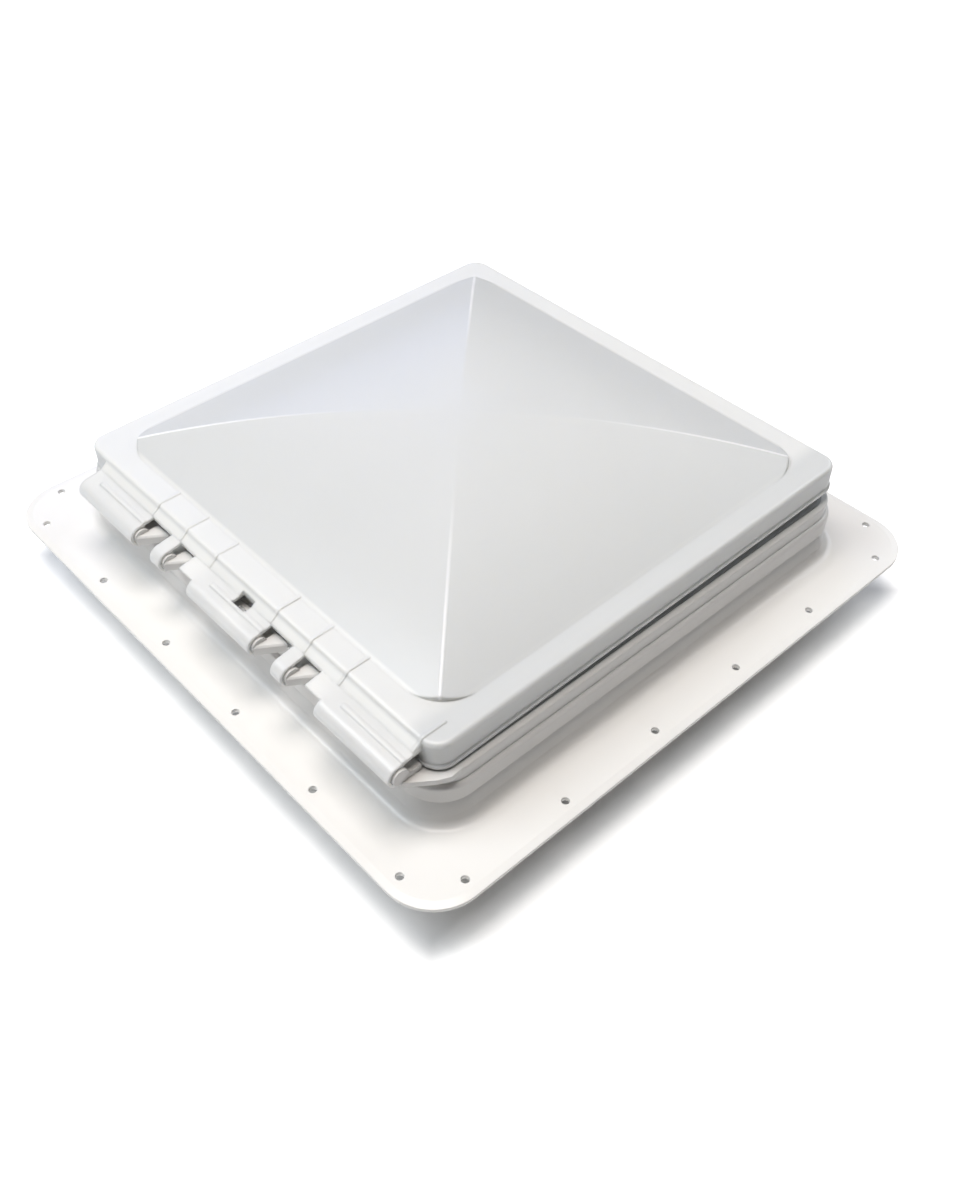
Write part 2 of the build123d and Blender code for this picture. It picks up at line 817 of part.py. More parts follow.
def pivot_bush(side):
    """A plain bearing for one end of the pivot shaft."""
    journal = journal_small if side < 0 else journal_large
    span = sorted([side * (sector_width / 2 + side_clear), side * (case_half + bush_proud)])
    ring = cross_rod(journal + bush_wall, pivot_y, pivot_z, *span)
    return ring - cross_rod(journal + running, pivot_y, pivot_z, span[0] - past, span[1] + past)


def square_bar(side, x0, x1):
    """A square bar along X on the pivot's axis, lined up with the arm."""
    turned = Rot(arm_angle, 0, 0)
    bar = Box(x1 - x0, side, side)
    return Pos((x0 + x1) / 2, pivot_y, pivot_z) * turned * bar


def pivot_shaft():
    """The stepped shaft that ties the sector inside the case to the arm outside it."""
    inner = sector_width / 2 + side_clear
    left_end = -case_half - bush_proud - shaft_stub
    right_face = case_half + bush_proud
    body = cross_rod(journal_small, pivot_y, pivot_z, left_end, -inner)
    body += square_bar(square_side, -inner, inner)
    body += cross_rod(journal_large, pivot_y, pivot_z, inner, right_face)
    body += square_bar(square_side, right_face, arm_out)
    body += cross_rod(journal_small, pivot_y, pivot_z, arm_out, arm_out + shaft_stub)
    for x in ring_places():
        groove = cross_rod(journal_small + past, pivot_y, pivot_z, x, x + ring_thick)
        groove -= cross_rod(journal_small - groove_depth, pivot_y, pivot_z, x - past, x + ring_thick + past)
        body -= groove
    return body


def ring_places():
    """The X places of the grooves for the two retaining rings."""
    return [-case_half - bush_proud - ring_play - ring_thick, arm_out + ring_play]


def shaft_rings():
    """The two open spring rings that keep the pivot shaft in place."""
    placed = []
    for x in ring_places():
        ring = cross_rod(journal_small + ring_out, pivot_y, pivot_z, x, x + ring_thick)
        ring -= cross_rod(journal_small - groove_depth, pivot_y, pivot_z, x - past, x + ring_thick + past)
        mouth = block(x - past, x + ring_thick + past, pivot_y - ring_mouth / 2, pivot_y + ring_mouth / 2,
                      pivot_z - 2 * arm_hub_radius, pivot_z)
        placed.append(ring - mouth)
    return placed


def tooth_edges(angle):
    """The four corners of one straight-sided tooth, in the order they are met going round."""
    slope = math.tan(math.radians(pressure_angle))
    corners = []
    for side in (-1, 1):
        for radius in ((sector_root, sector_tip) if side < 0 else (sector_tip, sector_root)):
            half = tooth_thick / 2 - (radius - sector_pitch_radius) * slope
            turn = math.degrees(half / radius)
            corners.append((angle + side * turn, radius))
    return corners


def sector_outline(turn):
    """The sector's outline in Y and Z, turned a little to follow the worm's lead."""
    step = 360.0 / sector_teeth
    last_gap = 180.0 - arm_angle
    first = last_gap + step / 2 - (teeth_cut - 1) * step
    inner = sector_hub_radius * sector_sunk
    low = first - sector_edge * step
    high = first + (teeth_cut - 1 + sector_edge) * step
    points = [(low, sector_root)]
    for i in range(teeth_cut):
        points += tooth_edges(first + i * step)
    points += [(high, sector_root), (high, inner), ((low + high) / 2, inner), (low, inner)]
    return [around(angle + turn + arm_angle, radius, pivot_y, pivot_z) for angle, radius in points]


def sector_gear():
    """The toothed sector, with its teeth laid over to the worm's lead."""
    half = sector_width / 2
    turn = math.degrees(half * lead_slope / sector_pitch_radius)
    faces = []
    for sign in (-1, 1):
        outline = make_face(Polyline(sector_outline(sign * turn), close=True))
        faces.append(Pos(sign * half, 0, 0) * (Plane.YZ * outline))
    body = loft(faces, ruled=True)
    body += cross_rod(sector_hub_radius, pivot_y, pivot_z, -half, half)
    return body - square_bar(square_side + 2 * running, -half - past, half + past)


def lift_arm():
    """The flat steel arm from the pivot shaft to the shoe."""
    hub = cross_rod(arm_hub_radius, pivot_y, pivot_z, arm_in, arm_out)
    tip = cross_rod(arm_tip_radius, tip_y, tip_z, arm_in, arm_out)
    left = arm_angle + 90
    lean = math.degrees(math.asin((arm_hub_radius - arm_tip_radius) / arm_length))
    sides = [
        around(left - lean, arm_hub_radius, pivot_y, pivot_z),
        around(left - lean, arm_tip_radius, tip_y, tip_z),
        around(left + lean + 180, arm_tip_radius, tip_y, tip_z),
        around(left + lean + 180, arm_hub_radius, pivot_y, pivot_z),
    ]
    body = hub + tip + side_profile(sides, arm_in, arm_out)
    body -= square_bar(square_side + 2 * running, arm_in - past, arm_out + past)
    return body - cross_rod(pin_radius, tip_y, tip_z, arm_in - past, arm_out + past)


def tip_pin():
    """The rivet through the arm's tip that the shoe turns on."""
    pin = cross_rod(pin_radius, tip_y, tip_z, arm_in, shoe_in + shoe_width)
    return pin + cross_rod(pin_head_radius, tip_y, tip_z, arm_in - pin_head, arm_in)


def track_shoe():
    """The nylon shoe that slides in the track."""
    body = Box(shoe_width, shoe_length, shoe_height)
    body = fillet(body.edges().filter_by(Axis.X), shoe_round)
    placed = Pos(shoe_in + shoe_width / 2, tip_y, tip_z) * Rot(track_tilt, 0, 0) * body
    bore = cross_rod(pin_radius + running, tip_y, tip_z, shoe_in - past, shoe_in + shoe_width + past)
    return placed - bore


def worm():
    """The single-start worm: a core and one swept thread, bored for the crank shaft."""
    slope = math.tan(math.radians(pressure_angle))
    helix_radius = worm_root - thread_sunk
    path = Helix(pitch=thread_pitch, height=worm_length - thread_pitch, radius=helix_radius)
    wide = tooth_thick / 2 + (worm_pitch_radius - helix_radius) * slope
    narrow = tooth_thick / 2 - addendum * slope
    deep = worm_tip - helix_radius
    section = Polyline([(0, -wide), (deep, -narrow), (deep, narrow), (0, wide)], close=True)
    plane = Plane(origin=path @ 0, x_dir=(1, 0, 0), z_dir=(0, 1, 0))
    profile = plane * make_face(section)
    thread = sweep(profile, path=path, is_frenet=True)
    low = -(worm_length - thread_pitch) / 2
    thread = Pos(0, 0, low) * thread
    crest_turn = 90.0 - 360.0 * (-low) / thread_pitch
    thread = Rot(0, 0, crest_turn) * thread
    length = worm_length + 2 * worm_shoulder
    body = Cylinder(worm_root, length) + thread
    body &= Cylinder(worm_tip + past, length)
    body -= Cylinder(crank_radius, length + 2 * past)
    return Pos(0, crank_y, pivot_z) * body


def crank_shaft():
    """The upright steel shaft from the worm down to the knob."""
    top = pivot_z + worm_room + crank_bush_length - crank_short
    body = upright_rod(crank_radius, 0, crank_y, crank_end_z, top)
    flat = block(-crank_radius, crank_radius, crank_y - crank_radius, crank_y - crank_radius + crank_flat,
                 crank_end_z - past, knob_top_z)
    return body - flat


def crank_bush(side):
    """A plain bearing above or below the worm."""
    near = pivot_z + side * worm_room
    far = pivot_z + side * (worm_room + crank_bush_length)
    z0, z1 = sorted([near, far])
    ring = upright_rod(crank_radius + crank_bush_wall, 0, crank_y, z0, z1)
    return ring - upright_rod(crank_radius + running, 0, crank_y, z0 - past, z1 + past)


def crank_knob():
    """The fluted hand knob under the screen."""
    body = upright_rod(knob_radius, 0, crank_y, knob_low_z, knob_top_z - knob_hub_rise)
    body = fillet(body.edges().group_by(Axis.Z)[-1], knob_top_round)
    body = fillet(body.edges().group_by(Axis.Z)[0], knob_low_round)
    out = knob_radius + flute_centre_out
    for i in range(flute_count):
        angle = 360.0 * (i + 0.5) / flute_count
        x, y = around(angle, out, 0, crank_y)
        body -= upright_rod(flute_radius, x, y, knob_low_z - past, knob_top_z)
    hub = crank_radius + knob_hub_wall
    body += upright_rod(hub, 0, crank_y, knob_top_z - knob_hub_rise - lap, knob_top_z)
    body -= upright_rod(crank_radius + running, 0, crank_y, crank_end_z - knob_bore_over, knob_top_z + past)
    y0 = crank_y - knob_radius - past
    hole = Pos(0, (y0 + crank_y) / 2, set_screw_z()) * Rot(90, 0, 0)
    return body - hole * Cylinder(set_screw_radius + screw_play, crank_y - y0)


def set_screw_z():
    """The height of the knob's set screw."""
    return (knob_top_z + crank_end_z) / 2 - set_screw_drop


def knob_set_screw():
    """The headless screw that holds the knob on the shaft's flat."""
    outer = crank_y - knob_radius + set_screw_sunk
    inner = crank_y - crank_radius + crank_flat
    length = inner - outer
    body = Cylinder(set_screw_radius, length)
    socket = extrude(RegularPolygon(socket_radius, 6), amount=socket_depth)
    socket = Pos(0, 0, length / 2 - socket_depth) * socket
    return Pos(0, (inner + outer) / 2, set_screw_z()) * Rot(90, 0, 0) * (body - socket)


def screen_frame():
    """The moulded frame of the insect screen, with a groove round its underside for the net."""
    low = screen_top - screen_thick
    frame = rounded_block(screen_half, screen_half - corner_centre, low, screen_top)
    frame = fillet(frame.edges().group_by(Axis.Z)[0], screen_edge_round)
    frame -= rounded_block(screen_inner, screen_inner_corner, low - past, screen_top + past)
    outer = screen_inner + groove_inset + groove_width
    inner = screen_inner + groove_inset
    corner = screen_inner_corner + groove_inset
    groove = rounded_block(outer, corner + groove_width, low - past, low + groove_deep)
    groove -= rounded_block(inner, corner, low - 2 * past, low + groove_deep + past)
    room = clip_screw_radius + clip_post_wall + clip_room
    for x, y in clip_places():
        frame -= upright_rod(room, x, y, low - past, screen_top + past)
    return frame - groove


def net_z():
    """The height of the net's underside: the net is stretched over the frame's underside."""
    return screen_top - screen_thick - net_thick


def screen_net():
    """The insect net, as one holed sheet with a hole for the crank shaft."""
    half = screen_inner + groove_inset
    bottom = net_z()
    sheet_face = RectangleRounded(2 * half, 2 * half, screen_inner_corner + groove_inset)
    opening = (2 * screen_inner - net_wire) / net_count - net_wire
    pitch = opening + net_wire
    first = -screen_inner + net_wire + opening / 2
    holes = []
    for i in range(net_count):
        for j in range(net_count):
            holes.append(Pos(first + i * pitch, first + j * pitch) * Rectangle(opening, opening))
    sheet_face -= holes
    patch = Pos(0, crank_y) * Circle(grommet_outer() - net_hole_lap)
    neck = Pos(0, crank_y) * Circle(grommet_inner() + grommet_neck + grommet_net_play)
    sheet_face = sheet_face + patch - neck
    return extrude(Pos(0, 0, bottom) * sheet_face, amount=net_thick)


def grommet_inner():
    """The radius of the hole that the crank shaft passes through in the net's grommet."""
    return crank_radius + shaft_clear


def grommet_outer():
    """The radius of the grommet's flanges."""
    return grommet_inner() + grommet_wall + grommet_flange


def screen_grommet():
    """The ring that borders the net's hole round the crank shaft."""
    bottom = net_z()
    top = bottom + net_thick
    low = bottom - grommet_thick
    high = top + grommet_thick
    neck = upright_rod(grommet_inner() + grommet_neck, 0, crank_y, low, high)
    lower = upright_rod(grommet_outer(), 0, crank_y, low, bottom)
    upper = upright_rod(grommet_outer(), 0, crank_y, top, high)
    bore = upright_rod(grommet_inner(), 0, crank_y, low - past, high + past)
    return neck + lower + upper - bore


def screen_spline():
    """The round cord that is pressed into the groove to hold the net."""
    middle = screen_inner + groove_inset + groove_width / 2
    corner = screen_inner_corner + groove_inset + groove_width / 2
    z = screen_top - screen_thick + spline_radius + spline_play
    path = Pos(0, 0, z) * RectangleRounded(2 * middle, 2 * middle, corner).wire()
    section = Plane(origin=path @ 0, z_dir=path % 0) * Circle(spline_radius)
    return sweep(section, path=path)


def clip_places():
    """The X and Y places of the four screen clips."""
    x = throat_inner - clip_inset
    return [(x, clip_y), (-x, clip_y), (-x, -clip_y), (x, -clip_y)]


def clip_z():
    """The height of the clips' upper face, just under the net."""
    return net_z() - clip_gap


def screen_clips():
    """Four clips screwed to the moulding: each has a post beside the screen and an arm below it."""
    placed = []
    for x, y in clip_places():
        inward = -1 if x > 0 else 1
        top = -skirt_depth
        low = clip_z() - clip_thick
        post = upright_rod(clip_screw_radius + clip_post_wall, x, y, low, top)
        arm = block(*sorted([x, x + inward * clip_length]), y - clip_width / 2, y + clip_width / 2,
                    low, clip_z())
        arm += upright_rod(clip_width / 2, x, y, low, clip_z())
        bore = upright_rod(clip_screw_radius + screw_play, x, y, low - past, top + past)
        placed.append(post + arm - bore)
    return placed


def clip_screws():
    """The screw in the middle of each clip."""
    length = -skirt_depth - clip_z() + clip_thick
    one = screw(clip_screw_radius, length + clip_post - clip_screw_short, clip_screw_radius * head_ratio)
    low = clip_z() - clip_thick
    return [Pos(x, y, low) * Rot(180, 0, 0) * one for x, y in clip_places()]


def about_x(y, z, degrees, shape):
    """Turns a piece about an axis along X."""
    return Pos(0, y, z) * Rot(degrees, 0, 0) * Pos(0, -y, -z) * shape


def about_crank(degrees, shape):
    """Turns a piece about the crank's axis."""
    return Pos(0, crank_y, 0) * Rot(0, 0, degrees) * Pos(0, -crank_y, 0) * shape


def with_lid(shape):
    """Opens a piece of the lid by the small angle that the lid stands at."""
    return about_x(hinge_y, hinge_z, lid_ajar, shape)


def with_arm(shape):
    """Turns a piece of the arm, which goes twice as far as the lid."""
    return about_x(pivot_y, pivot_z, 2 * lid_ajar, shape)


def with_shoe(shape):
    """Carries the shoe to the arm's tip and keeps it lined up with the track."""
    y, z = around(arm_angle + 2 * lid_ajar, arm_length, pivot_y, pivot_z)
    return Pos(0, y, z) * Rot(lid_ajar, 0, 0) * Pos(0, -tip_y, -tip_z) * shape


def with_crank(shape):
    """Turns a piece of the crank by as many turns as the lid's opening needs."""
    return about_crank(crank_ratio * lid_ajar, shape)


def fixed(shape):
    """Leaves a piece where it is drawn."""
    return shape


nodes = {
    "base_frame": (fixed, base_frame()),
    "curb_gasket": (fixed, curb_gasket()),
    "lid_shell": (with_lid, lid_shell()),
    "lid_track": (with_lid, lid_track()),
    "track_screws": (with_lid, track_screws()),
    "crossbar": (fixed, crossbar()),
    "crossbar_screws": (fixed, crossbar_screws()),
    "case_left": (fixed, case_half_shell(-1)),
    "case_right": (fixed, case_half_shell(1)),
    "case_screws": (fixed, case_screws()),
    "foot_screws": (fixed, foot_screws()),
    "pivot_bush_left": (fixed, pivot_bush(-1)),
    "pivot_bush_right": (fixed, pivot_bush(1)),
    "pivot_shaft": (with_arm, pivot_shaft()),
    "shaft_rings": (with_arm, shaft_rings()),
    "sector_gear": (with_arm, sector_gear()),
    "lift_arm": (with_arm, lift_arm()),
    "tip_pin": (with_arm, tip_pin()),
    "track_shoe": (with_shoe, track_shoe()),
    "worm": (with_crank, worm()),
    "crank_shaft": (with_crank, crank_shaft()),
    "crank_bush_upper": (fixed, crank_bush(1)),
    "crank_bush_lower": (fixed, crank_bush(-1)),
    "crank_knob": (with_crank, crank_knob()),
    "knob_set_screw": (with_crank, knob_set_screw()),
    "screen_frame": (fixed, screen_frame()),
    "screen_net": (fixed, screen_net()),
    "screen_grommet": (fixed, screen_grommet()),
    "screen_spline": (fixed, screen_spline()),
    "screen_clips": (fixed, screen_clips()),
    "clip_screws": (fixed, clip_screws()),
}

os.makedirs("parts", exist_ok=True)
for name, (place, piece) in nodes.items():
    if isinstance(piece, list):
        piece = Compound(children=[place(item) for item in piece])
    else:
        piece = place(piece)
    export_step(piece, f"parts/{name}.step")
    print(name, round(piece.volume))
print("roof opening", roof_opening, "flange", flange_side, "track tilt", round(track_tilt, 4))
print("hinge", hinge_y, hinge_z, "pivot", round(pivot_y, 4), round(pivot_z, 4))
print("tip at rest", around(arm_angle + 2 * lid_ajar, arm_length, pivot_y, pivot_z))
print("crank axis y", round(crank_y, 4), "ratio", crank_ratio)
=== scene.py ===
# %% [markdown]
# A roof hatch for a caravan. On the real thing a white moulded flange is screwed to the roof, a domed lid
# sits on its curb, and a crank, a worm and one steel arm lift the lid from inside. The construction comes
# in finished, at its real size, as a frame of named pieces. What is left to do here is how it looks: the
# plastics, the steels, the rubber, the fine net, and a photographer's table with soft light.

# %% Load the hatch
import math

import bmesh
import bpy
from mathutils import Matrix, Vector


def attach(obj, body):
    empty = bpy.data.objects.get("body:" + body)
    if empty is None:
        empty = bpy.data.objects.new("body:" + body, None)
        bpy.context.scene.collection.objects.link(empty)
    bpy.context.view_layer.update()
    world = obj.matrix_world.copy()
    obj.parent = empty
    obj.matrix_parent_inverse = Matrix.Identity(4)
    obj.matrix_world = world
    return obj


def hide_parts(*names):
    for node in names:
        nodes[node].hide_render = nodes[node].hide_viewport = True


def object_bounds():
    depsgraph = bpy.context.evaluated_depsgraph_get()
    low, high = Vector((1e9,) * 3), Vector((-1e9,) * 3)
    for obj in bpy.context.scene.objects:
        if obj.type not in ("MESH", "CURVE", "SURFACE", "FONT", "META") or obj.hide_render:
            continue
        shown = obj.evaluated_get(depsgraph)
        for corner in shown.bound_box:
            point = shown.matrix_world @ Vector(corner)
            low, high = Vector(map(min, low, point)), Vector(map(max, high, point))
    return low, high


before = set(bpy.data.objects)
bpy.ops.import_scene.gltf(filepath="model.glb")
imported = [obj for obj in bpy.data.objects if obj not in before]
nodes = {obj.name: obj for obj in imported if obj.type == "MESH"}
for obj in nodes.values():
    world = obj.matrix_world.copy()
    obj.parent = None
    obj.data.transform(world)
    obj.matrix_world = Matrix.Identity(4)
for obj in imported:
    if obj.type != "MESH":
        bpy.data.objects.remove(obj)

cad_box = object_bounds()
print("pieces:", len(nodes), "size:", [round(b - a, 4) for a, b in zip(*cad_box)])

# %% [markdown]
# Colours are easiest to choose as the hex values that a paint program shows. Blender mixes light in
# linear values, so one function turns hex into those.

# %% Colours


def linear(hex_colour, alpha=1.0):
    """An sRGB hex value such as F4F3F0 as a linear colour."""
    parts = [int(hex_colour[i:i + 2], 16) / 255 for i in (0, 2, 4)]
    curve = [c / 12.92 if c <= 0.04045 else ((c + 0.055) / 1.055) ** 2.4 for c in parts]
    return (*curve, alpha)


print("mid grey, 808080, is", round(linear("808080")[0], 3), "in linear light")

# %% [markdown]
# A material is a small network of nodes. One helper adds a node, sets it and wires it on both sides, so
# that each material below reads as a list of what it is made of. Patterns are sized in millimetres: the
# objects are in metres, so a pattern that repeats every few millimetres needs a scale of a thousand over
# that.

# %% A helper for nodes, and sizes in millimetres
MM = 0.001


def add(tree, kind, inputs=None, into=None, **settings):
    """Adds one node. An input takes a value or another node's output, and into wires outputs onward."""
    node = tree.nodes.new(kind)
    for name, value in settings.items():
        setattr(node, name, value)
    for name, value in (inputs or {}).items():
        if isinstance(value, bpy.types.NodeSocket):
            tree.links.new(value, node.inputs[name])
        else:
            node.inputs[name].default_value = value
    for name, socket in (into or {}).items():
        tree.links.new(node.outputs[name], socket)
    return node


def per_metre(millimetres):
    """The scale of a pattern whose features are this many millimetres across."""
    return 1 / (millimetres * MM)


def start_material(name):
    """A new material with its shader and the piece's own coordinates in metres."""
    material = bpy.data.materials.new(name)
    material.use_nodes = True
    tree = material.node_tree
    shader = tree.nodes["Principled BSDF"]
    place = add(tree, "ShaderNodeTexCoord").outputs["Object"]
    return material, tree, shader, place


print("a 2 mm pattern has scale", per_metre(2))

# %% [markdown]
# Moulded ABS. The flange, curb and lid are thermoplastic mouldings with a soft gloss. Up close the skin
# isn't flat: it has a faint orange peel from the mould, and long shallow waves where the wall cooled
# unevenly. No moulded edge is sharp either: a small round catches the light along each one, and the bevel
# node draws that round without adding any faces. The lid is drawn down over its mould, so its rounds are
# larger than the frame's. Light also goes in a little way before it comes back out, which keeps the
# shadows soft, and further in the milky lid, which lets daylight through.

# %% White ABS
TONE_PATCH_MM = 70
PEEL_MM, PEEL_DEPTH_MM = 1.8, 0.004
WAVE_MM, WAVE_DEPTH_MM = 90, 0.03
GLOSS_SPREAD = 0.01


def moulded_abs(name, pale, deep, gloss, round_mm, milky, scatter_mm):
    """Glossy moulded ABS between two close whites, with orange peel, sink waves and rounded edges."""
    material, tree, shader, place = start_material(name)
    patches = add(tree, "ShaderNodeTexNoise", {
        "Vector": place, "Scale": per_metre(TONE_PATCH_MM), "Detail": 3.0}).outputs["Fac"]
    add(tree, "ShaderNodeMix", {"Factor": patches, "A": linear(pale), "B": linear(deep)},
        {"Result": shader.inputs["Base Color"]}, data_type="RGBA")
    add(tree, "ShaderNodeMapRange", {
        "Value": patches, "To Min": gloss - GLOSS_SPREAD, "To Max": gloss + GLOSS_SPREAD},
        {"Result": shader.inputs["Roughness"]})
    edges = add(tree, "ShaderNodeBevel", {"Radius": round_mm * MM}, samples=6)
    wave = add(tree, "ShaderNodeTexNoise", {
        "Vector": place, "Scale": per_metre(WAVE_MM), "Detail": 0.0})
    waved = add(tree, "ShaderNodeBump", {
        "Height": wave.outputs["Fac"], "Strength": 1.0, "Distance": WAVE_DEPTH_MM * MM,
        "Normal": edges.outputs["Normal"]})
    peel = add(tree, "ShaderNodeTexNoise", {
        "Vector": place, "Scale": per_metre(PEEL_MM), "Detail": 1.0})
    add(tree, "ShaderNodeBump", {
        "Height": peel.outputs["Fac"], "Strength": 0.2, "Distance": PEEL_DEPTH_MM * MM,
        "Normal": waved.outputs["Normal"]}, {"Normal": shader.inputs["Normal"]})
    shader.inputs["IOR"].default_value = 1.53
    shader.inputs["Subsurface Weight"].default_value = milky
    shader.inputs["Subsurface Radius"].default_value = (1.0, 0.95, 0.85)
    shader.inputs["Subsurface Scale"].default_value = scatter_mm * MM
    return material


frame_abs = moulded_abs("abs_white_moulded", "F1F0EE", "EFEEEB", gloss=0.30, round_mm=0.8,
                        milky=0.12, scatter_mm=2.0)
lid_abs = moulded_abs("abs_milky_lid", "DADBDA", "D8DAD9", gloss=0.29, round_mm=2.2,
                      milky=0.6, scatter_mm=8.0)
print("made", frame_abs.name, lid_abs.name)

# %% [markdown]
# Each of the two mouldings has more than one tone. To lay a further colour over the first one, a mask
# says where it goes: 0 keeps the old colour and 1 shows the new one.
#
# The frame's upright curb gets a tone a shade greyer than its flange: painted shade on the upright
# walls. Height above the flange is the mask.

# %% A second tone, and painted shade on the curb
CURB_FOOT, CURB_FULL = 3.5 * MM, 12.0 * MM


def lay_over(tree, mask, colour):
    """Lays a colour over the shader's present base colour where the mask is 1."""
    target = tree.nodes["Principled BSDF"].inputs["Base Color"]
    add(tree, "ShaderNodeMix", {
        "Factor": mask, "A": target.links[0].from_socket, "B": linear(colour)},
        {"Result": target}, data_type="RGBA")


tree = frame_abs.node_tree
place = tree.nodes["Texture Coordinate"].outputs["Object"]
z = add(tree, "ShaderNodeSeparateXYZ", {"Vector": place}).outputs["Z"]
painted_shade_on_curb = add(tree, "ShaderNodeMapRange", {
    "Value": z, "From Min": CURB_FOOT, "From Max": CURB_FULL}, interpolation_type="SMOOTHSTEP")
# painted shade: the greyer tone darkens the curb's upright walls
lay_over(tree, painted_shade_on_curb.outputs["Result"], "DFDEDC")
print("frame material nodes:", len(tree.nodes))

# %% [markdown]
# The lid's flat border and its hinge pads get a whiter tone than the dome: a painted highlight. The lid
# stands a little open, so its slope is taken off the height before the height tells dome from border.
# The painted highlight is left off the border's right-hand side, so the mask fades out there.

# %% Painted highlight on the lid's border and hinge pads
LID_SLOPE = math.tan(math.radians(1.2))
HINGE_OUT = 195.5 * MM
BORDER = 64.0 * MM + HINGE_OUT * LID_SLOPE

tree = lid_abs.node_tree
place = tree.nodes["Texture Coordinate"].outputs["Object"]
x, y, z = add(tree, "ShaderNodeSeparateXYZ", {"Vector": place}).outputs
sloped = add(tree, "ShaderNodeMath", {0: y, 1: LID_SLOPE}, operation="MULTIPLY").outputs[0]
height = add(tree, "ShaderNodeMath", {0: z, 1: sloped}, operation="SUBTRACT").outputs[0]

masks = {}
for name, along, start, end in [
        ("dome", height, BORDER + 0.5 * MM, BORDER + 1.5 * MM),
        ("above wall", height, BORDER - 3.0 * MM, BORDER - 0.5 * MM),
        ("off right", x, 164.0 * MM, 150.0 * MM),
        ("at hinge", y, -179.0 * MM, -182.0 * MM)]:
    masks[name] = add(tree, "ShaderNodeMapRange", {
        "Value": along, "From Min": start, "From Max": end},
        interpolation_type="SMOOTHSTEP").outputs["Result"]

flat = add(tree, "ShaderNodeMath", {
    0: masks["above wall"], 1: masks["dome"]}, operation="SUBTRACT").outputs[0]
border = add(tree, "ShaderNodeMath", {
    0: flat, 1: masks["off right"]}, operation="MULTIPLY").outputs[0]
painted_highlight = add(tree, "ShaderNodeMath", {
    0: masks["at hinge"], 1: border}, operation="MAXIMUM").outputs[0]
# painted highlight: the border and hinge pads are made whiter than the dome
lay_over(tree, painted_highlight, "EEEEEA")
print("lid masks:", ", ".join(masks))

# %% [markdown]
# The dome is two crossed vaults. Along each of the four ridges where they meet lies a painted highlight,
# a fine white line, strongest at the corner and fading towards the top. A ridge lies where the distances
# from the middle along X and along Y are the same. The shading also raises the line by a quarter of a
# millimetre.

# %% Painted highlight along the ridges of the dome
RIDGE_SHIFT = 0.7 * MM
RIDGE_HALF = 1.1 * MM
RIDGE_RISE = 0.25 * MM
RIDGE_STARTS, RIDGE_FULL = 45.0 * MM, 150.0 * MM

out_x = add(tree, "ShaderNodeMath", {0: x}, operation="ABSOLUTE").outputs[0]
moved_y = add(tree, "ShaderNodeMath", {0: y, 1: RIDGE_SHIFT}, operation="ADD").outputs[0]
out_y = add(tree, "ShaderNodeMath", {0: moved_y}, operation="ABSOLUTE").outputs[0]
apart = add(tree, "ShaderNodeMath", {0: out_x, 1: out_y}, operation="SUBTRACT").outputs[0]
gap = add(tree, "ShaderNodeMath", {0: apart}, operation="ABSOLUTE").outputs[0]
line = add(tree, "ShaderNodeMapRange", {
    "Value": gap, "From Min": 2.0 * RIDGE_HALF, "From Max": 0.3 * RIDGE_HALF},
    interpolation_type="SMOOTHSTEP").outputs["Result"]
corner = add(tree, "ShaderNodeMapRange", {
    "Value": out_x, "From Min": RIDGE_STARTS, "From Max": RIDGE_FULL},
    interpolation_type="SMOOTHSTEP").outputs["Result"]
faded = add(tree, "ShaderNodeMath", {0: line, 1: corner}, operation="MULTIPLY").outputs[0]
ridge_highlight = add(tree, "ShaderNodeMath", {
    0: faded, 1: masks["dome"]}, operation="MULTIPLY").outputs[0]
# painted highlight: a white line along each ridge of the dome
lay_over(tree, ridge_highlight, "FFFFFF")

normal = tree.nodes["Principled BSDF"].inputs["Normal"]
add(tree, "ShaderNodeBump", {
    "Height": ridge_highlight, "Strength": 1.0, "Distance": RIDGE_RISE,
    "Normal": normal.links[0].from_socket}, {"Normal": normal})
print("lid material nodes:", len(tree.nodes))

# %% [markdown]
# The crank case, the knob and the screen frame are small injection mouldings with a spark-eroded grain
# of about half a millimetre, which hides fingerprints and makes them matt. The black acetal of the
# bushes and the natural nylon of the gears follow the same recipe with their own colours and gloss.

# %% Grained plastic
CLOUD_MM = 25
PIT_DEPTH_MM = 0.05


def grained_plastic(name, pale, deep, grain_mm, gloss):
    """Matt injection-moulded plastic with a spark-eroded grain."""
    material, tree, shader, place = start_material(name)
    clouds = add(tree, "ShaderNodeTexNoise", {
        "Vector": place, "Scale": per_metre(CLOUD_MM), "Detail": 3.0})
    add(tree, "ShaderNodeMix", {
        "Factor": clouds.outputs["Fac"], "A": linear(pale), "B": linear(deep)},
        {"Result": shader.inputs["Base Color"]}, data_type="RGBA")
    pits = add(tree, "ShaderNodeTexVoronoi", {
        "Vector": place, "Scale": per_metre(grain_mm)}, feature="SMOOTH_F1").outputs["Distance"]
    add(tree, "ShaderNodeBump", {"Height": pits, "Strength": 0.5, "Distance": PIT_DEPTH_MM * MM},
        {"Normal": shader.inputs["Normal"]})
    add(tree, "ShaderNodeMapRange", {
        "Value": pits, "From Max": 0.8, "To Min": gloss - 0.06, "To Max": gloss + 0.08},
        {"Result": shader.inputs["Roughness"]})
    shader.inputs["IOR"].default_value = 1.50
    return material


case_plastic = grained_plastic("abs_grained_case", "EDEDEA", "E6E6E2", 0.6, 0.46)
knob_plastic = grained_plastic("abs_grained_knob", "E9E8E3", "E1E0DA", 0.5, 0.42)
screen_plastic = grained_plastic("abs_grained_screen", "EFEFEC", "E8E8E4", 0.6, 0.48)
black_acetal = grained_plastic("acetal_black", "26272A", "1D1E20", 0.8, 0.34)
natural_nylon = grained_plastic("nylon_natural", "E8E3D2", "DDD6C1", 0.9, 0.38)
print("made", case_plastic.name, knob_plastic.name, screen_plastic.name)

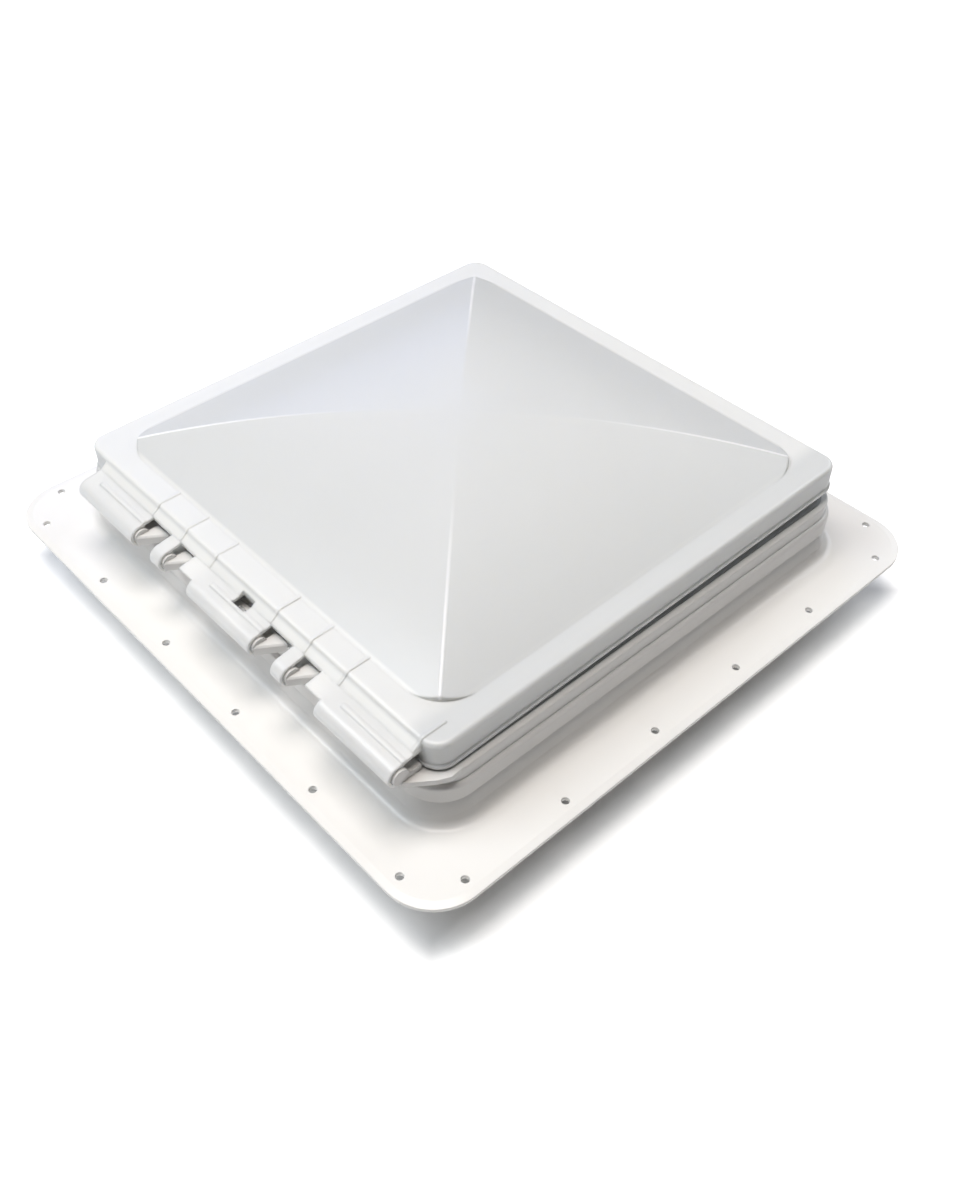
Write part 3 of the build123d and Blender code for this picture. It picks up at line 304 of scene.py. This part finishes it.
# %% [markdown]
# The seal is a soft EPDM rubber strip, light grey on a white hatch. Rubber is dull and a little dusty: the
# dust lies in patches and lifts the grey, and the skin has fine pores. The dark vinyl cord that holds the
# net is dull and dusty in the same way.

# %% Rubber and vinyl
DUST_PATCH_MM = 18
PORE_DEPTH_MM = 0.05


def dusty_rubber(name, clean, dusty, pore_mm):
    """Rubber or soft vinyl with pores and pale dusty patches."""
    material, tree, shader, place = start_material(name)
    patches = add(tree, "ShaderNodeTexNoise", {
        "Vector": place, "Scale": per_metre(DUST_PATCH_MM), "Detail": 5.0})
    dust = add(tree, "ShaderNodeMapRange", {
        "Value": patches.outputs["Fac"], "From Min": 0.4, "From Max": 0.75})
    add(tree, "ShaderNodeMix", {
        "Factor": dust.outputs["Result"], "A": linear(clean), "B": linear(dusty)},
        {"Result": shader.inputs["Base Color"]}, data_type="RGBA")
    pores = add(tree, "ShaderNodeTexVoronoi", {"Vector": place, "Scale": per_metre(pore_mm)})
    add(tree, "ShaderNodeBump", {
        "Height": pores.outputs["Distance"], "Strength": 0.6, "Distance": PORE_DEPTH_MM * MM},
        {"Normal": shader.inputs["Normal"]})
    shader.inputs["Roughness"].default_value = 0.72
    shader.inputs["IOR"].default_value = 1.52
    return material


epdm = dusty_rubber("epdm_rubber", "A3A5A7", "B4B6B7", 0.7)
vinyl_cord = dusty_rubber("vinyl_dark", "2B2C2E", "3A3B3D", 0.5)
print("made", epdm.name, vinyl_cord.name)

# %% [markdown]
# The insect net is woven from glass-fibre yarn in a dark vinyl coat. The coat is smooth, with a dull
# gloss and slight changes of grey from yarn to yarn.

# %% Net yarn
STRAND_TONE_MM = 4


def coated_yarn(name, pale, deep):
    """Vinyl-coated glass-fibre yarn."""
    material, tree, shader, place = start_material(name)
    strands = add(tree, "ShaderNodeTexNoise", {
        "Vector": place, "Scale": per_metre(STRAND_TONE_MM), "Detail": 2.0}).outputs["Fac"]
    add(tree, "ShaderNodeMix", {"Factor": strands, "A": linear(pale), "B": linear(deep)},
        {"Result": shader.inputs["Base Color"]}, data_type="RGBA")
    add(tree, "ShaderNodeMapRange", {"Value": strands, "To Min": 0.38, "To Max": 0.55},
        {"Result": shader.inputs["Roughness"]})
    return material


yarn = coated_yarn("glass_fibre_yarn", "4A4C4F", "37393B")
print("made", yarn.name)

# %% [markdown]
# The bar, track, arm and shafts are mild steel with bright zinc plating. Zinc shows as a soft grey metal
# with cloudy patches where the bath worked faster, and faint scratches along the sheet from rolling. The
# screws are stainless, which is brighter and cleaner. A pattern squeezed to a few hundredths along one
# direction turns into lines that run that way.

# %% Plated steel
ALONG_X = (0.04, 1.0, 1.0)
ALONG_ARM = (1.0, 0.04, 0.06)
ALONG_Z = (1.0, 1.0, 0.06)
NO_LINES = (1.0, 1.0, 1.0)
LINE_MM, LINE_DEPTH_MM = 0.35, 0.01


def plated_steel(name, pale, deep, patch_mm, gloss, squeeze):
    """Zinc plate or stainless: cloudy metal with fine rolling lines along one direction."""
    material, tree, shader, place = start_material(name)
    shader.inputs["Metallic"].default_value = 1.0
    patches = add(tree, "ShaderNodeTexNoise", {
        "Vector": place, "Scale": per_metre(patch_mm), "Detail": 6.0})
    add(tree, "ShaderNodeMix", {
        "Factor": patches.outputs["Fac"], "A": linear(pale), "B": linear(deep)},
        {"Result": shader.inputs["Base Color"]}, data_type="RGBA")
    squeezed = add(tree, "ShaderNodeMapping", {"Vector": place, "Scale": squeeze})
    lines = add(tree, "ShaderNodeTexNoise", {
        "Vector": squeezed.outputs["Vector"], "Scale": per_metre(LINE_MM),
        "Detail": 3.0}).outputs["Fac"]
    add(tree, "ShaderNodeMapRange", {
        "Value": lines, "From Min": 0.3, "From Max": 0.7,
        "To Min": gloss - 0.08, "To Max": gloss + 0.10}, {"Result": shader.inputs["Roughness"]})
    add(tree, "ShaderNodeBump", {"Height": lines, "Strength": 0.25, "Distance": LINE_DEPTH_MM * MM},
        {"Normal": shader.inputs["Normal"]})
    return material


bar_zinc = plated_steel("zinc_plated_bar", "C6C8CB", "ABAEB2", 14, 0.36, ALONG_X)
arm_zinc = plated_steel("zinc_plated_arm", "C6C8CB", "ABAEB2", 9, 0.34, ALONG_ARM)
shaft_zinc = plated_steel("zinc_plated_shaft", "CBCDD0", "B4B6BA", 5, 0.28, ALONG_Z)
stainless = plated_steel("stainless_screw", "D2D3D4", "BFC1C3", 3, 0.24, NO_LINES)
print("made", bar_zinc.name, arm_zinc.name, shaft_zinc.name, stainless.name)

# %% [markdown]
# Each piece of the frame now gets the finish that the real one has.

# %% Dress the pieces
finishes = {
    frame_abs: ["base_frame"],
    lid_abs: ["lid_shell"],
    case_plastic: ["case_left", "case_right"],
    knob_plastic: ["crank_knob"],
    screen_plastic: ["screen_frame", "screen_clips"],
    black_acetal: ["pivot_bush_left", "pivot_bush_right", "crank_bush_upper", "crank_bush_lower",
                   "track_shoe", "screen_grommet"],
    natural_nylon: ["worm", "sector_gear"],
    vinyl_cord: ["screen_spline"],
    epdm: ["curb_gasket"],
    yarn: ["screen_net"],
    bar_zinc: ["crossbar"],
    arm_zinc: ["lift_arm", "lid_track"],
    shaft_zinc: ["pivot_shaft", "crank_shaft", "tip_pin", "shaft_rings"],
    stainless: ["track_screws", "crossbar_screws", "case_screws", "foot_screws", "knob_set_screw",
                "clip_screws"],
}
for material, names in finishes.items():
    for name in names:
        piece = nodes[name]
        if not piece.material_slots:
            piece.data.materials.append(material)
        for slot in piece.material_slots:
            slot.material = material
print("dressed:", sum(len(names) for names in finishes.values()))

# %% [markdown]
# The seal and the cord that holds the net both run round a square with rounded corners, so one function
# carries a section round such a path. The CAD rings stay in the model for contacts, and these pieces
# stand for them in the picture.

# %% A section carried round a rounded square
CORNER_STEPS = 12


def rounded_square(half, corner):
    """Places and outward directions round a square with rounded corners."""
    centre = half - corner
    places = []
    for quarter, (side_x, side_y) in enumerate([(1, 1), (-1, 1), (-1, -1), (1, -1)]):
        for step in range(CORNER_STEPS + 1):
            angle = math.radians(90 * (quarter + step / CORNER_STEPS))
            out = Vector((math.cos(angle), math.sin(angle), 0))
            places.append((Vector((side_x * centre, side_y * centre, 0)) + corner * out, out))
    return places


def place_piece(name, mesh, replaced, material):
    """Puts a mesh in the scene on the frame, in place of a CAD node."""
    mesh.materials.append(material)
    piece = bpy.data.objects.new(name, mesh)
    bpy.context.scene.collection.objects.link(piece)
    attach(piece, "frame")
    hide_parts(replaced)
    return piece


def ring_piece(name, half, corner, section, replaced, material):
    """Carries a closed section of (outward, upward) points round a rounded square, in millimetres."""
    shape = bmesh.new()
    rows = []
    for place, out in rounded_square(half * MM, corner * MM):
        rows.append([shape.verts.new(place + out * (x * MM) + Vector((0, 0, z * MM)))
                     for x, z in section])
    for row, following in zip(rows, rows[1:] + rows[:1]):
        for a, b, c, d in zip(row, row[1:] + row[:1], following[1:] + following[:1], following):
            shape.faces.new((a, b, c, d)).smooth = True
    bmesh.ops.recalc_face_normals(shape, faces=shape.faces)
    mesh = bpy.data.meshes.new(name)
    shape.to_mesh(mesh)
    shape.free()
    return place_piece(name, mesh, replaced, material)


print("stations round a ring:", len(rounded_square(1, 0.1)))

# %% [markdown]
# The seal's section is a low round-topped bead on the curb's ledge. The cord's is round with small ribs,
# which grip the groove that it is pressed into.

# %% Seal and net cord
SEAL_HALF, SEAL_CORNER = 177.85, 17.85
SEAL_WIDTH, SEAL_HEIGHT, LEDGE_TOP = 4.4, 1.2, 43.5
SEAL_STEPS, SEAL_FULLNESS = 14, 0.6
CORD_HALF, CORD_CORNER, CORD_Z = 159.8, 10.8, -15.9
CORD_RADIUS, CORD_RIBS, RIB_DEPTH = 1.5, 10, 0.18

bead_section = []
for step in range(SEAL_STEPS + 1):
    angle = math.pi * step / SEAL_STEPS
    bead_section.append((SEAL_WIDTH / 2 * math.cos(angle),
                         LEDGE_TOP + SEAL_HEIGHT * math.sin(angle) ** SEAL_FULLNESS))

ribbed_section = []
for step in range(4 * CORD_RIBS):
    angle = 2 * math.pi * step / (4 * CORD_RIBS)
    reach = CORD_RADIUS - RIB_DEPTH * (1 - math.cos(CORD_RIBS * angle)) / 2
    ribbed_section.append((reach * math.cos(angle), CORD_Z + reach * math.sin(angle)))

seal = ring_piece("seal_bead", SEAL_HALF, SEAL_CORNER, bead_section, "curb_gasket",
                  epdm)
cord = ring_piece("net_cord", CORD_HALF, CORD_CORNER, ribbed_section, "screen_spline",
                  vinyl_cord)
print("seal faces:", len(seal.data.polygons), "cord faces:", len(cord.data.polygons))

# %% [markdown]
# The insect net. The real one has some sixteen yarns to the inch, which is too fine to draw at this size,
# so here they are 2.4 mm apart. Each yarn is a thin diamond-sided strand that goes over one crossing and
# under the next, and the yarns across it do the opposite. Strands stop at the ring that borders the hole
# for the crank shaft.

# %% Yarns
NET_HALF, NET_PITCH, NET_Z = 158.0, 2.4, -17.8
YARN_RADIUS, YARN_LIFT = 0.15, 0.14
HOLE_Y, HOLE_RADIUS = -100.3, 7.5


def yarn_runs(i, across, stations, along_x):
    """The points of one yarn as (x, y, lift), split where the hole for the shaft cuts it."""
    runs = [[]]
    for j, along in enumerate(stations):
        x, y = (along, across) if along_x else (across, along)
        lift = YARN_LIFT if (i + j) % 2 == along_x else -YARN_LIFT
        if math.hypot(x, y - HOLE_Y) < HOLE_RADIUS:
            runs.append([])
        else:
            runs[-1].append((x, y, lift))
    return [run for run in runs if len(run) > 1]


def add_strand(points, faces, run, along_x):
    """Adds one diamond-sided strand along a run of points."""
    start = len(points)
    side_x, side_y = (0, YARN_RADIUS) if along_x else (YARN_RADIUS, 0)
    for x, y, lift in run:
        z = NET_Z + lift
        points.extend([(x - side_x, y - side_y, z), (x, y, z + YARN_RADIUS),
                       (x + side_x, y + side_y, z), (x, y, z - YARN_RADIUS)])
    for a in range(start, len(points) - 4, 4):
        for k in range(4):
            faces.append((a + k, a + (k + 1) % 4, a + 4 + (k + 1) % 4, a + 4 + k))
    end = len(points) - 4
    faces.append((start, start + 1, start + 2, start + 3))
    faces.append((end + 3, end + 2, end + 1, end))


print("yarns each way:", int(2 * NET_HALF / NET_PITCH) - 1)

# %% Woven net
count = int(2 * NET_HALF / NET_PITCH)
stations = [-NET_HALF + 2 * NET_HALF * i / count for i in range(count + 1)]
points, faces = [], []
for i, across in enumerate(stations[1:-1]):
    for along_x in (True, False):
        for run in yarn_runs(i, across, stations, along_x):
            add_strand(points, faces, run, along_x)

net_mesh = bpy.data.meshes.new("insect_net")
net_mesh.from_pydata([(x * MM, y * MM, z * MM) for x, y, z in points], [], faces)
shape = bmesh.new()
shape.from_mesh(net_mesh)
bmesh.ops.recalc_face_normals(shape, faces=shape.faces)
shape.to_mesh(net_mesh)
shape.free()
place_piece("insect_net", net_mesh, "screen_net", yarn)
print("net faces:", len(net_mesh.polygons))

# %% [markdown]
# The table is one pale sheet of paper just under the knob. It glows a little beside the flange and more
# so far out, as on a lit table: the shadow stays pale and the paper white up to the horizon, while it
# stays dark under the screw holes. That glow is there for the picture more than for the light, so that
# the walls of the hatch keep their depth: a light path node tells a look at the paper from light that it
# gives. Under the throat the paper does shine, as a light table would, so that light reaches the arm and
# the case and comes through the lid. Sizes here are in metres from the middle.

# %% Paper
FLOOR_SIZE = 12.0
FLOOR_GAP = 0.5 * MM
GLOW_AS_LIGHT = 0.15

bpy.ops.mesh.primitive_plane_add(size=FLOOR_SIZE, location=(0, 0, cad_box[0].z - FLOOR_GAP))
floor = bpy.context.object
floor.name = "floor"
paper, tree, shader, place = start_material("paper_white")
shader.inputs["Base Color"].default_value = linear("F7F7F7")
shader.inputs["Roughness"].default_value = 0.9
shader.inputs["Emission Color"].default_value = linear("FFFFFF")

x, y, _ = add(tree, "ShaderNodeSeparateXYZ", {"Vector": place}).outputs
out_x = add(tree, "ShaderNodeMath", {0: x}, operation="ABSOLUTE").outputs[0]
out_y = add(tree, "ShaderNodeMath", {0: y}, operation="ABSOLUTE").outputs[0]
out = add(tree, "ShaderNodeMath", {0: out_x, 1: out_y}, operation="MAXIMUM").outputs[0]
glows = {}
for name, start, end, strength in [
        ("beside", 0.21, 0.24, 0.62), ("far off", 0.28, 0.60, 0.33), ("below", 0.15, 0.10, 0.45)]:
    glows[name] = add(tree, "ShaderNodeMapRange", {
        "Value": out, "From Min": start, "From Max": end, "To Max": strength},
        interpolation_type="SMOOTHSTEP").outputs["Result"]

looked_at = add(tree, "ShaderNodeLightPath").outputs["Is Camera Ray"]
share = add(tree, "ShaderNodeMapRange", {
    "Value": looked_at, "To Min": GLOW_AS_LIGHT, "To Max": 1.0}).outputs["Result"]
around = add(tree, "ShaderNodeMath", {
    0: glows["beside"], 1: glows["far off"]}, operation="ADD").outputs[0]
add(tree, "ShaderNodeMath", {0: around, 1: share, 2: glows["below"]},
    {"Value": shader.inputs["Emission Strength"]}, operation="MULTIPLY_ADD")
floor.data.materials.append(paper)
print("paper at", round(floor.location.z / MM, 1), "mm")

# %% [markdown]
# The light is a photographer's. A soft box overhead makes the flange bright and leaves the upright walls
# darker, as they only get what the flange throws back. A key over the hinge side lights the hooks, one
# behind lifts the far faces, and a weak blue one tints the rear of the dome. The sky, too, is pale to
# look at and gives next to no light.

# %% Light and sky
SKY_AS_LIGHT, SKY_LOOKED_AT = 0.02, 0.96


def soft_box(name, toward, distance, size, watts, colour):
    """A square soft box that shines at the hatch from a direction."""
    lamp = bpy.data.lights.new(name, "AREA")
    lamp.shape = "SQUARE"
    lamp.size = size
    lamp.energy = watts
    lamp.color = linear(colour)[:3]
    holder = bpy.data.objects.new(name, lamp)
    bpy.context.scene.collection.objects.link(holder)
    direction = Vector(toward).normalized()
    holder.location = direction * distance
    holder.rotation_euler = direction.to_track_quat("Z", "Y").to_euler()


soft_box("overhead", (0.0, -0.1, 1.0), distance=1.6, size=0.8, watts=18.4, colour="FFF8F2")
soft_box("key", (-0.40, -0.60, 0.90), distance=2.0, size=1.0, watts=20.0, colour="F4FAFF")
soft_box("far_side", (0.10, 1.0, 0.60), distance=2.0, size=1.2, watts=12.5, colour="F4FAFF")
soft_box("far_left", (-0.80, 0.35, 0.45), distance=2.0, size=1.2, watts=3.4, colour="80A4FF")

sky = bpy.data.worlds.new("sky")
bpy.context.scene.world = sky
sky.use_nodes = True
tree = sky.node_tree
background = tree.nodes["Background"]
background.inputs["Color"].default_value = linear("FAFBFD")
looked_at = add(tree, "ShaderNodeLightPath").outputs["Is Camera Ray"]
add(tree, "ShaderNodeMapRange", {
    "Value": looked_at, "To Min": SKY_AS_LIGHT, "To Max": SKY_LOOKED_AT},
    {"Result": background.inputs["Strength"]})
bpy.context.scene.view_settings.view_transform = "Standard"
print("soft boxes:", len(bpy.data.lights))

# %% [markdown]
# The camera stands where the photographer's did. Its place was worked out from the corners of the flange
# and lid: it looks at the hinge side and the right side from about 45 degrees up, a little rolled.

# %% Camera
azimuth, elevation, roll = (math.radians(a) for a in (46.1815, 44.5955, 1.5976))
focal_pixels = 1200.95
photo_height = 1200
sensor_mm = 36.0
eye = Vector((475.62, -435.02, 563.32)) * MM

back = Vector((math.sin(azimuth) * math.cos(elevation), -math.cos(azimuth) * math.cos(elevation),
               math.sin(elevation)))
level = Vector((math.cos(azimuth), math.sin(azimuth), 0))
upright = back.cross(level)
right = math.cos(roll) * level + math.sin(roll) * upright
up = math.cos(roll) * upright - math.sin(roll) * level

camera_data = bpy.data.cameras.new("camera")
camera_data.sensor_width = sensor_mm
camera_data.sensor_fit = "AUTO"
camera_data.lens = sensor_mm * focal_pixels / photo_height
camera = bpy.data.objects.new("camera", camera_data)
bpy.context.scene.collection.objects.link(camera)
turn = Matrix((right, up, back)).transposed().to_4x4()
camera.matrix_world = Matrix.Translation(eye) @ turn
bpy.context.scene.camera = camera
print("lens:", round(camera_data.lens, 2), "mm")
